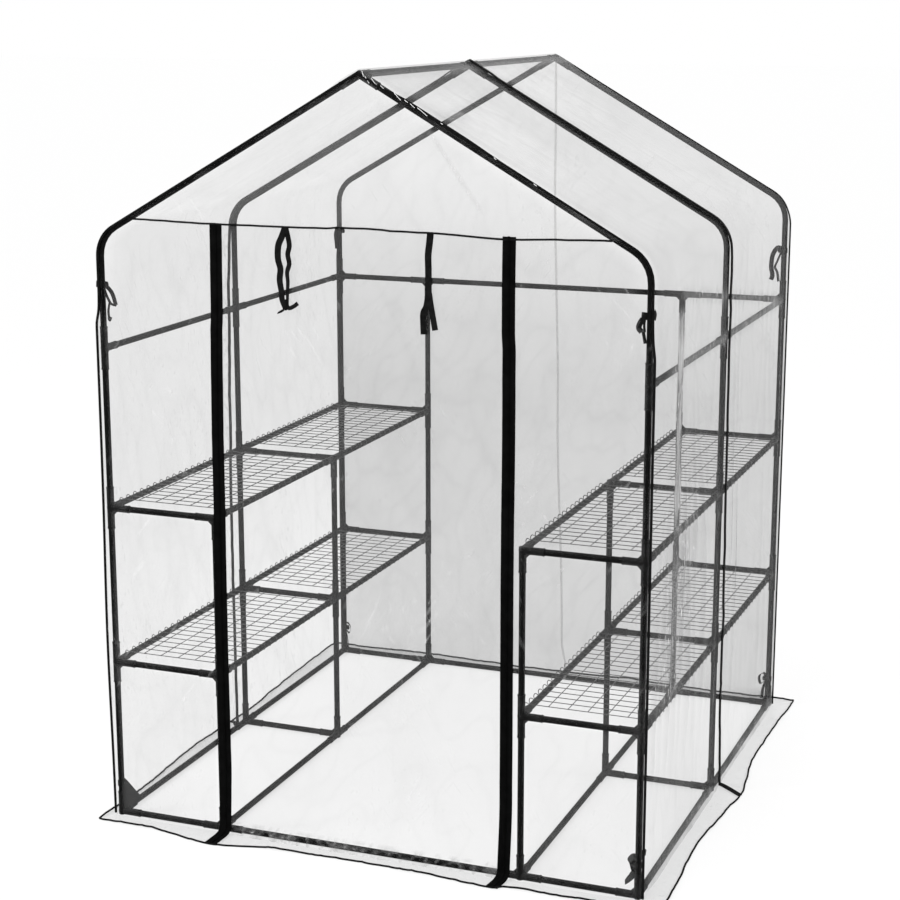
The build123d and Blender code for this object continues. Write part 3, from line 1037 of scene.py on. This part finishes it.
def skirt_edge(name, t):
    """A place on the outer edge, at t from -1 to 1 along one side."""
    if name in ENDS:
        sy = ENDS[name]
        low, high = skirt_corner(-1, sy).x, skirt_corner(1, sy).x
        x = low + (high - low) * (t + 1) / 2
        return Vector((x, sy * (END_Y + skirt_reach(name, x)), 0))
    sx = SIDES[name]
    low, high = skirt_corner(sx, -1).y, skirt_corner(sx, 1).y
    y = low + (high - low) * (t + 1) / 2
    return Vector((sx * (WALL_X + skirt_reach(name, y)), y, 0))


def wall_foot(name, t):
    """Where the skirt leaves the wall."""
    if name in ENDS:
        return on_cover(t * WALL_X, ENDS[name] * END_Y, SKIRT_Z)
    return on_cover(SIDES[name] * WALL_X, t * END_Y, SKIRT_Z)


def skirt_height(name, t, s):
    """The skirt's ripples, higher towards its free edge."""
    wave = max(0.0, waver(t * 7.5, s * 1.5, len(name) * 1.3))
    small = ridged(t * 24, s * 2.5, len(name)) ** 2
    return SKIRT_Z + 0.0075 * wave * s * s + 0.0016 * small * s


def make_skirt():
    for name in SKIRT_EDGES:
        rows = []
        for s in evenly(0, 1, SKIRT_ROWS):
            row = []
            for t in evenly(-1, 1, SKIRT_COLUMNS):
                p = wall_foot(name, t).lerp(skirt_edge(name, t), s)
                p.z = skirt_height(name, t, s)
                row.append((p, 0.10 * ridged(t * 30, s * 2, 5.0) ** 2 * s))
            rows.append(row)
        if name in ("rear", "right"):
            rows = rows[::-1]
        film(f"{name}_skirt_sheet", f"{name}_skirt", rows, SKIRT_FILM)


def black_line(name, node, shape):
    piece(name, shape.mesh(node), BINDING, "black_piping", node, sharp=70)


def make_hem():
    """The black hem round the skirt's outer edge."""
    shape = Shape()
    line = []
    for name, way in (("front", 1), ("right", 1), ("rear", -1), ("left", -1)):
        for t in evenly(-1, 1, SKIRT_COLUMNS)[:-1]:
            p = skirt_edge(name, way * t)
            p.z = skirt_height(name, way * t, 1.0) + 0.0014
            line.append(p)
    line.append(line[0].copy())
    shape.rod(line, HEM_R, 8)
    black_line("skirt_hem_bead", "skirt_hem", shape)


# Piping, zips and seam

def bead_shift(which, side, z):
    """How far a line of piping has crept along the wall."""
    if which != "middle":
        return 0.0
    if side > 0:
        return between(((0.0, 0.044), (0.045, 0.032), (0.27, 0.0155), (0.80, 0.0145), (1.10, 0.009),
                        (1.24, 0.0)), z)
    wobble = 0.0016 * waver(0, 0, 26 * z) * fall(z, 1.2, 1.45)
    return wobble + between(((0.2, -0.024), (0.7, -0.030), (1.0, -0.021), (1.3, -0.012), (1.5, 0.0)), z)


def bead_radius(which, p):
    """Thinner over the right slope, but thick for a stretch of the front's."""
    if p.x < 0 or p.z < EAVE_Z - 0.1:
        return BEADS[which]
    more = between(((0.03, 0.4), (0.08, 1), (0.26, 1), (0.36, 0)), p.x) if which == "front" else 0.0
    return BEADS["rear"] + 0.0026 * more


def foot_of_band(side, foot):
    """The middle band's run from the foot of the wall to the skirt's edge."""
    edge = skirt_edge("right" if side > 0 else "left", -0.013)
    edge.z = 0.0045
    halfway = foot.lerp(edge, 0.5) + Y * 0.004
    halfway.z = edge.z
    return smooth_path([foot, foot + Vector((side * 0.006, 0.001, -0.002)), halfway, edge], 6)


def make_piping():
    profile = arch_profile(FILM_OFFSET, 0.006, 0.012)
    for which, y in (("front", -END_Y + 0.002), ("middle", 0.0), ("rear", END_Y - 0.002)):
        shape = Shape()
        for side in SIDES.values():
            line = [base_of_bead(which, side, y + bead_shift(which, side, z), x, z, nx, nz)
                    for x, z, nx, nz in profile]
            if which == "middle":
                shape.band(line[:-1] + foot_of_band(side, line[-1]), Y, BAND_WIDE, BAND_THICK[side])
            else:
                shape.rod(line, [bead_radius(which, p) for p in line], 10)
        black_line(f"{which}_piping_bead", f"{which}_piping", shape)


# Painted highlights of sharp creases at the front's right slope, drawn as small near-white strips: place along
# X, height over the slope, length and extra pitch.
CREASE_HIGHLIGHT_PLACES = ((0.012, 0.004, 0.018, 0.9), (0.024, -0.001, 0.020, 0.5), (0.040, 0.003, 0.022, 0.35),
           (0.052, -0.001, 0.016, 0.45), (0.061, 0.003, 0.014, 0.2), (0.092, 0.006, 0.012, 0.3),
           (0.101, 0.003, 0.014, 0.25), (0.118, 0.006, 0.010, 0.1), (0.134, 0.005, 0.014, 0.2),
           (0.150, 0.007, 0.012, 0.1), (0.163, 0.005, 0.018, 0.15), (0.205, 0.007, 0.006, 0.0),
           (0.335, 0.006, 0.007, 0.2), (0.432, 0.005, 0.009, 0.1))


def make_crease_highlights():
    """Small near-white strips of film: painted highlights where sharp creases catch the light."""
    shape = Shape()
    slope = Vector((cos(PITCH), 0, -sin(PITCH)))
    out = Vector((sin(PITCH), 0, cos(PITCH)))
    for x, up, long, steeper in CREASE_HIGHLIGHT_PLACES:
        middle = Vector((x, -BAY - 0.0168, RIDGE_Z - x * tan(PITCH))) + out * (up + 0.0045)
        way = (slope - out * steeper).normalized()
        line = smooth_path([middle - way * (long / 2), middle + Y * -0.0006, middle + way * (long / 2)], 3)
        shape.band(line, way.cross(Y), 0.0013, 0.0005)
    piece("front_crease_highlights", shape.mesh("front_crease_highlights"), CREASE_HIGHLIGHT, "clear_film", sharp=70)


def make_door_top():
    shape = Shape()
    reach = 0.620
    line = [on_cover(x, -END_Y, door_line(x) + 0.0006 * waver(x * 30, 0, 0), -0.0022)
            for x in evenly(-reach, reach, 120)]
    shape.band(line, Z, 0.0046, 0.0022)
    black_line("door_top_binding", "door_top_piping", shape)


def zip_line(side):
    """Down the front, round the foot and out over the skirt."""
    line = [on_cover(zip_x(side, z), -END_Y, z, -0.0014) for z in evenly(DOOR_TOP + 0.001, 0.036, 159)]
    last = line[-1]
    edge_x, reach = (-0.3985, 0.0805) if side < 0 else (0.3600, 0.0625)
    edge = Vector((edge_x, -END_Y - reach, 0.0032))
    on_skirt = last.lerp(edge, 0.6)
    on_skirt.z = 0.0042
    turn = [last, Vector((last.x, last.y - 0.003, 0.018)),
            Vector((last.x + (edge_x - last.x) * 0.3, last.y - 0.014, 0.0065)), on_skirt, edge]
    return line[:-1] + smooth_path(turn, 7)


def make_zips():
    tape = Shape()
    for side in SIDES.values():
        line = zip_line(side)
        tape.band(line, X, ZIP_WIDE, 0.0012)
        for lip in (-1, 1):
            tape.band([p + X * (lip * ZIP_WIDE / 2) for p in line], X, 0.0012, 0.0018)
        teeth = smooth_path(line, 3)
        for i in range(len(teeth) - 1):
            ahead = (teeth[i + 1] - teeth[i]).normalized()
            out = ahead.cross(X).normalized()
            if out.y > 0.2 or out.z < -0.2:
                out = -out
            shift = 0.0009 if i % 2 else -0.0009
            tape.block(teeth[i] + out * 0.0012 + X * shift, X * 0.0024, ahead * 0.0011, out * 0.0011)
    piece("door_zips_tape", tape.mesh("door_zips"), ZIP, "zip_tape", "door_zips", sharp=40)


def make_seam():
    """The welded seam down the back."""
    shape = Shape()
    line = [on_cover(seam_x(z), END_Y, z, 0.0006) for z in evenly(1.93, 0.005, 149)]
    shape.band(line, X, 0.0070, 0.0008)
    piece("rear_seam", shape.mesh("rear_seam"), SEAM, "clear_film", sharp=70)


# Ribbons, in millimetres: the width, the width's direction at the start and the end, and the points.
# A tie's points and directions are measured from the middle of its post, inward and up.
LOWER_REAR = (
    (12, ((0.4, 1, 0), (0.4, 1, 0)), ((4, 3, 6), (14, 8, 18), (26, 10, 8), (22, 9, -14), (8, 5, -6))),
    (12, ((0.5, 1, 0), (0.7, 1, 0)), ((6, 3, -4), (14, 6, -30), (17, 8, -62))),
)
TIES = {
    ("upper", -1, -1): (
        (16, ((0, 0, 1), (0.1, 0, 1)), ((-10.5, -10, 2), (2, -10.8, 1), (8, -10.6, 0))),
        (10, ((0.3, 0.2, 1), (1, 0.9, 0.4)), ((6, -10, 0), (16, -8, -3), (27, -7, -13), (34, -6, -26),
         (40.5, -5, -50))),
        (7, ((0.3, 1, 0.6), (0.5, 1, 0)), ((41.5, -4, -51), (30, -4, -49), (22, -3, -43), (13, -2, -27),
         (7, -2, -10))),
        (7, ((0.3, 1, 0), (0.4, 1, 0)), ((22, -3, -43), (17.2, -3, -66), (18.8, -3, -88))),
        (6, ((0.8, 0, 0.6), (0.6, 0, -0.8)), ((16.5, -3, -82), (20, -3, -90), (24.5, -3, -81))),
    ),
    ("upper", 1, -1): (
        (17, ((0, 0, 1), (0, 0.1, 1)), ((-2, -9.8, 0), (8, -10.8, 0.5), (18.5, -10, 1))),
        (13, ((1, 0, 0.5), (0.6, 0, -0.8)), ((15, -10.4, -6), (22, -10.6, -18), (23.5, -10.6, -28),
         (17, -10, -36))),
        (6, ((1, 0.2, 0), (1, 0.2, 0)), ((10, -10.2, -4), (11.5, -10.6, -20), (10, -10, -36))),
        (8, ((1, 0.1, 0.2), (1, 0.1, 0)), ((14, -10.4, -34), (11, -10, -48), (8.5, -9.6, -62))),
        (12, ((0, 1, 0), (0, 1, 0)), ((-8.5, 3, 11), (-10, 8, 2), (-9, 4, -10))),
    ),
    ("upper", -1, 1): (
        (13, ((1, 0.3, 0), (1, 0.1, 0)), ((-2, 10.5, 12), (-8, 11, -10), (-6, 11.5, -34), (-4, 11, -56))),
        (8, ((1, 0.2, 0), (0.8, 0.4, 0)), ((2, 10, 8), (9, 11, -16), (7, 11.5, -46), (10, 11, -74))),
    ),
    ("upper", 1, 1): (
        (13, ((1, 0.3, 0), (1, 0.1, 0)), ((4, 4, 4), (18, 8, 8), (31, 10, -14), (34, 10, -48), (30, 9, -72),
         (34, 8, -86))),
        (10, ((0.4, 1, 0), (0.6, 1, 0)), ((6, 4, 0), (16, 8, -28), (23, 10, -48), (16, 9, -64), (12, 8, -90))),
    ),
    ("lower", -1, -1): (
        (22, ((0.6, 0.2, 0.8), (0.5, 0.2, 0.7)), ((4, -2, 6), (16, -4, -2), (34, -4, -20), (56, -3, -40))),
        (24, ((1, 0.1, 0.3), (0.8, 0.2, 0.5)), ((6, -3, 0), (14, -5, -22), (24, -5, -42), (40, -4, -60))),
        (18, ((1, 0.2, 0), (1, 0.1, 0)), ((4, -1, -4), (9, -4, -34), (12, -4, -66))),
    ),
    ("lower", 1, -1): (
        (22, ((0.3, 1, 0.8), (0.8, 0.6, 0.5)), ((2, -3, 17), (12, -5, 19), (21, -6, 7), (16, -5, -5),
         (6, -3, -10))),
        (14, ((0, 0.7, 0.7), (0, 0.8, 0.6)), ((-2, 10, 10), (-7.5, 20, 26), (-8.5, 34, 18))),
        (17, ((0.9, 0.3, 0.5), (0.7, 0.3, -0.6)), ((4, -2, -8), (14, -4, -28), (31, -5, -48))),
        (18, ((0.3, 1, 0), (0.2, 1, 0.1)), ((2, 9, -4), (-4, 14, -26), (-6, 18, -56))),
    ),
    ("lower", -1, 1): LOWER_REAR,
    ("lower", 1, 1): LOWER_REAR,
}
# A strap's points are measured along X and Z from the frame's own middle, and along Y from the cover.
STRAPS = (
    (16, ((1, 0.2, 0), (1, -0.2, 0)), ((-190, 0, 1578), (-197, -6, 1555), (-205, -9, 1534), (-206.5, -9, 1503),
     (-201.5, -7, 1478), (-204.5, -6, 1452), (-201, -5, 1425), (-200, -4, 1405), (-194, -3, 1388))),
    (12, ((0.8, 0.6, 0), (0.8, -0.6, 0)), ((-188, -1.5, 1578), (-181, -4, 1553), (-177.5, -6, 1534),
     (-181.5, -7, 1514), (-177.5, -8, 1492), (-184, -7, 1471), (-183, -6, 1448), (-185, -5, 1420),
     (-186, -4, 1390))),
    (10, ((0.3, 0.2, 1), (0.2, 0.1, 1)), ((-190, -7, 1402), (-182, -8, 1386), (-170, -8, 1389),
     (-157, -7, 1398))),
    (9, ((0.3, 0.3, 1), (0.2, 0.8, 0.5)), ((-189, -6, 1388), (-197, -7, 1379), (-211, -7, 1372))),
    (16.5, ((1, 0.1, 0), (1, -0.1, 0)), ((181.5, 0, 1578), (180, -2, 1556), (177, -3, 1528), (177.5, -3, 1495),
     (177.5, -3, 1462), (178, -3, 1425))),
    (14.5, ((1, 0.2, 0.1), (1, 0.1, 0)), ((177, -4.5, 1432), (173, -6, 1408), (165.5, -6, 1392),
     (165, -5, 1366), (166, -5, 1342))),
    (14.5, ((1, -0.2, 0), (1, 0.1, -0.15)), ((180, -3.5, 1440), (184, -5, 1415), (187.5, -5, 1395),
     (191, -4, 1372), (194.5, -4, 1353))),
)


def ribbon(shape, wide, ways, points):
    """A flat ribbon through points, whose width turns from one way to the other."""
    line = smooth_path(points, 5)
    first, last = (Vector(way) for way in ways)
    count = len(line) - 1
    turned = [first.lerp(last, i / count).normalized() for i in range(count + 1)]
    shape.band(line, turned, wide / 1000, RIBBON_THICK)


def wrap(shape, place, wide):
    """A ribbon's turn round a post."""
    line = [place + X * (WRAP_R * cos(a)) + Y * (WRAP_R * sin(a)) for a in evenly(0, 2 * pi, 20)]
    shape.band(line, Z, wide, RIBBON_THICK)


def knot(shape, place, wide, high):
    """A small lump of ribbon, given by its half width and half height."""
    outline = ((-1.0, 0.35), (-0.8, 0.80), (-0.3, 1.0), (0.25, 0.92), (0.75, 0.7), (1.0, 0.3))
    shape.rod([place + Z * (h * high) for h, _ in outline], [r * wide for _, r in outline], 10)


def make_ties():
    for kind in ("upper", "lower"):
        node = f"{kind}_ties"
        low, high = (Vector(c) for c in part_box(node))
        shape = Shape()
        for side in SIDES.values():
            for end in (-1, 1):
                lift = 0.018 if kind == "upper" and end < 0 else 0.0
                post = Vector((side * POST_X, end * BAY, (low.z + high.z) / 2 + lift))
                wrap(shape, post, 0.014)
                knot(shape, post + X * (-side * 0.0135), 0.005, 0.0075)
                for wide, ways, points in TIES[kind, side, end]:
                    ways = [(-side * a, -end * b, c) for a, b, c in ways]
                    line = [post + Vector((-side * x, -end * y, z)) / 1000 for x, y, z in points]
                    ribbon(shape, wide, ways, line)
        piece(f"{node}_ribbon", shape.mesh(node), RIBBON, "ribbon", node, sharp=60)


def make_straps():
    """The straps that hold the door when it is rolled up: one tied in a loop, one hanging open."""
    shape = Shape()
    front = Vector((0, -END_Y - 0.0045, 0))
    for wide, ways, points in STRAPS:
        ribbon(shape, wide, ways, [front + Vector(p) / 1000 for p in points])
    knot(shape, front + Vector((-0.1915, -0.004, 1.392)), 0.0085, 0.013)
    piece("door_straps_ribbon", shape.mesh("door_straps"), RIBBON, "ribbon", "door_straps", sharp=60)


make_studio()
make_tubes()
make_connectors()
make_shelves()
make_bays()
make_panels()
make_skirt()
make_hem()
make_piping()
make_crease_highlights()
make_door_top()
make_zips()
make_seam()
make_ties()
make_straps()
